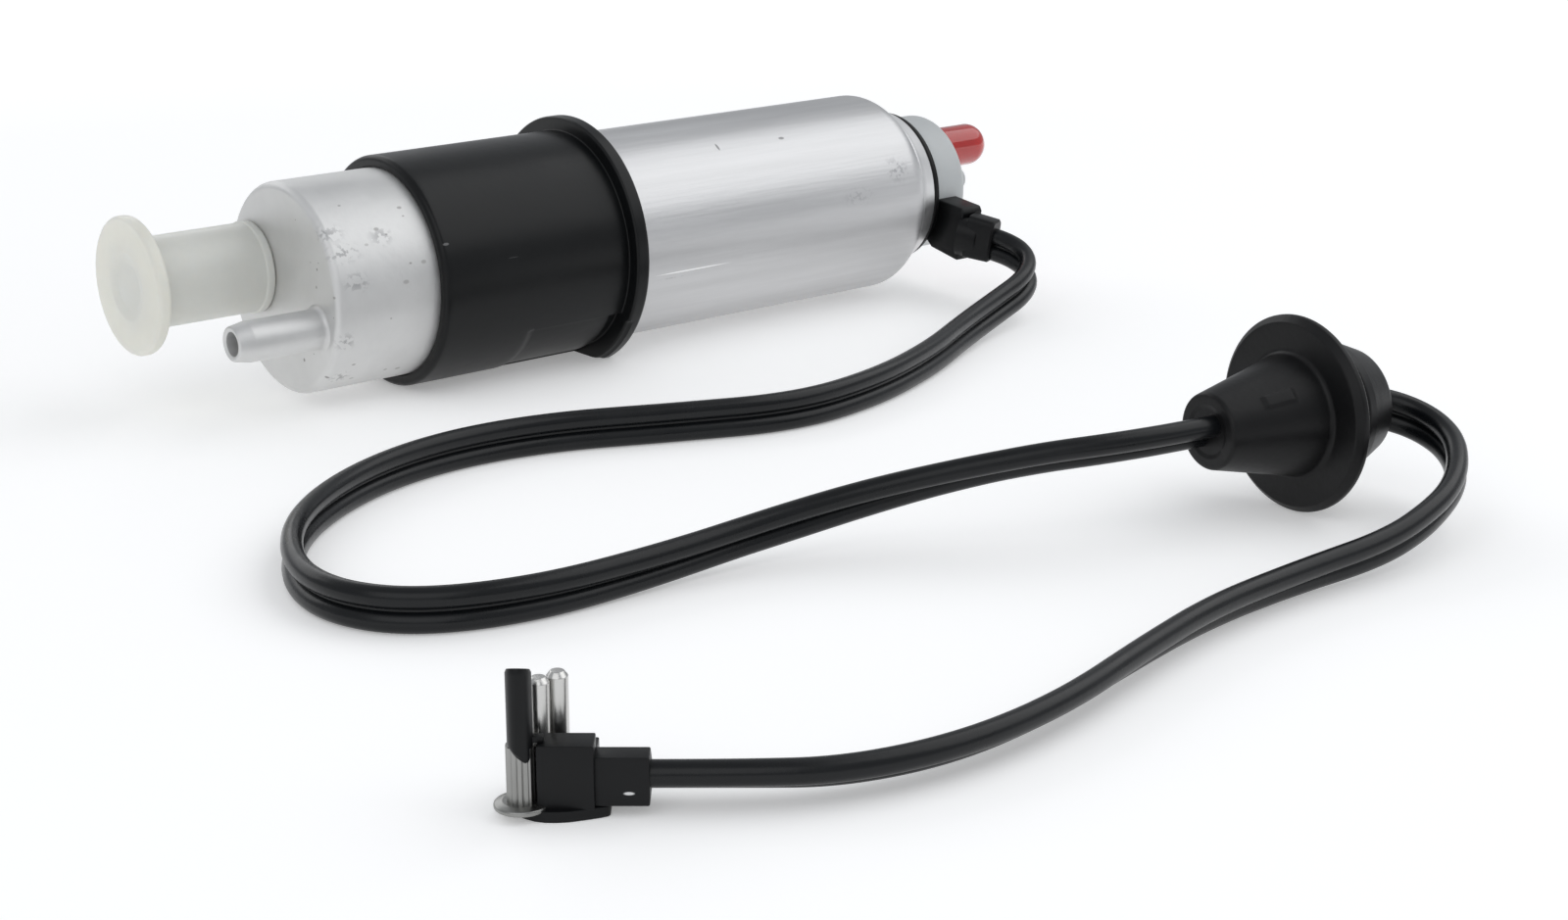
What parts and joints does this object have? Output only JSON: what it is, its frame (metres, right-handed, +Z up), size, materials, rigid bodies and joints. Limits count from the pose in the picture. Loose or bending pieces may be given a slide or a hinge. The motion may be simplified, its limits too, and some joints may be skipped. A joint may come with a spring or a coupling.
{
  "type": "high pressure fuel pump",
  "caption": "In-line electric fuel pump with gear stage, check valve, isolating sleeve, transit caps and a twin lead with grommet and plug.",
  "frame": {"origin": "bottom centre of the pump with its caps and without its lead, on the floor the pump lies on", "axes": "+X along the pump from inlet to outlet, +Z up, +Y away from the side the lead leaves"},
  "size_m": [0.2577, 0.2383, 0.0485],
  "materials": {
    "pale_casting": "satin pale casting",
    "plated_can": "drawn, bright plated",
    "ground_steel": "ground",
    "bright_steel": "polished",
    "alloy_plate": "turned",
    "brass_parts": "turned",
    "copper_wire": "enamelled copper",
    "dark_magnet": "ground ferrite",
    "carbon": "matt carbon",
    "black_plastic": "satin black",
    "white_plastic": "moulded off-white",
    "natural_plastic": "natural moulded",
    "clear_cap": "translucent, waxy",
    "red_cap": "glossy, slightly translucent",
    "black_rubber": "satin black",
    "lead_jacket": "smooth black jacket"
  },
  "bodies": {
    "pump": {"inlet_housing": "pale_casting", "inlet_strainer": "natural_plastic", "motor_can": "plated_can", "isolating_sleeve": "black_plastic", "housing_seal": "black_rubber", "can_end_seal": "black_rubber", "outlet_cover": "white_plastic", "check_spring": "bright_steel", "pump_base": "alloy_plate", "rotor_ring": "ground_steel", "pump_cover": "alloy_plate", "stack_screws": "bright_steel", "relief_spring": "bright_steel", "shaft_bushes": "brass_parts", "flux_ring": "ground_steel", "field_magnets": "dark_magnet", "magnet_clips": "bright_steel", "brush_holder": "white_plastic", "terminal_tabs": "brass_parts", "brush_spring_upper": "bright_steel", "brush_spring_lower": "bright_steel", "twin_lead": "lead_jacket", "lead_connector": "black_plastic", "lead_grommet": "black_rubber", "plug_body": "black_plastic", "plug_pins": "bright_steel", "screw_guide": "black_plastic"},
    "armature": {"armature_shaft": "ground_steel", "thrust_washers": "black_plastic", "armature_core": "ground_steel", "armature_windings": "copper_wire", "commutator": "copper_wire", "inner_rotor": "ground_steel"},
    "ring_gear": {"outer_rotor": "ground_steel"},
    "valve_poppet": {"check_valve": "brass_parts"},
    "relief": {"relief_ball": "bright_steel"},
    "upper_brush": {"brush_upper": "carbon"},
    "lower_brush": {"brush_lower": "carbon"},
    "inlet_cover_cap": {"inlet_cap": "clear_cap"},
    "outlet_cover_cap": {"outlet_cap": "red_cap"},
    "fixing_screw": {"plug_screw": "bright_steel"}
  },
  "joints": [
    {"name": "armature_spin", "type": "hinge", "parent": "pump", "child": "armature", "pos_m": [0, 0, 0.0229], "axis": [1, 0, 0], "continuous": true},
    {"name": "ring_gear_spin", "type": "hinge", "parent": "pump", "child": "ring_gear", "pos_m": [-0.043, 0, 0.02385], "axis": [1, 0, 0], "continuous": true},
    {"name": "check_valve_lift", "type": "slide", "parent": "pump", "child": "valve_poppet", "axis": [1, 0, 0], "range_m": [0, 0.0012], "stiffness_N_per_m": 150, "springref_m": -0.001, "deforming": ["check_spring"]},
    {"name": "relief_ball_lift", "type": "slide", "parent": "pump", "child": "relief", "axis": [-1, 0, 0], "range_m": [0, 0.0008], "stiffness_N_per_m": 400, "springref_m": -0.001, "deforming": ["relief_spring"]},
    {"name": "brush_upper_slide", "type": "slide", "parent": "pump", "child": "upper_brush", "axis": [0, 0, 1], "range_m": [0, 0.0015], "stiffness_N_per_m": 300, "springref_m": -0.003, "deforming": ["brush_spring_upper"]},
    {"name": "brush_lower_slide", "type": "slide", "parent": "pump", "child": "lower_brush", "axis": [0, 0, -1], "range_m": [0, 0.0015], "stiffness_N_per_m": 300, "springref_m": -0.003, "deforming": ["brush_spring_lower"]},
    {"name": "inlet_cap_pull", "type": "slide", "parent": "pump", "child": "inlet_cover_cap", "axis": [-1, 0, 0], "range_m": [0, 0.03]},
    {"name": "outlet_cap_pull", "type": "slide", "parent": "pump", "child": "outlet_cover_cap", "axis": [1, 0, 0], "range_m": [0, 0.02]},
    {"name": "plug_screw_turn", "type": "hinge", "parent": "pump", "child": "fixing_screw", "pos_m": [-0.14936, -0.18343, 0.005], "axis": [0, 0, 1], "continuous": true}
  ],
  "couplings": [
    {"joint": "ring_gear_spin", "follows": "armature_spin", "ratio": 0.85714}
  ]
}
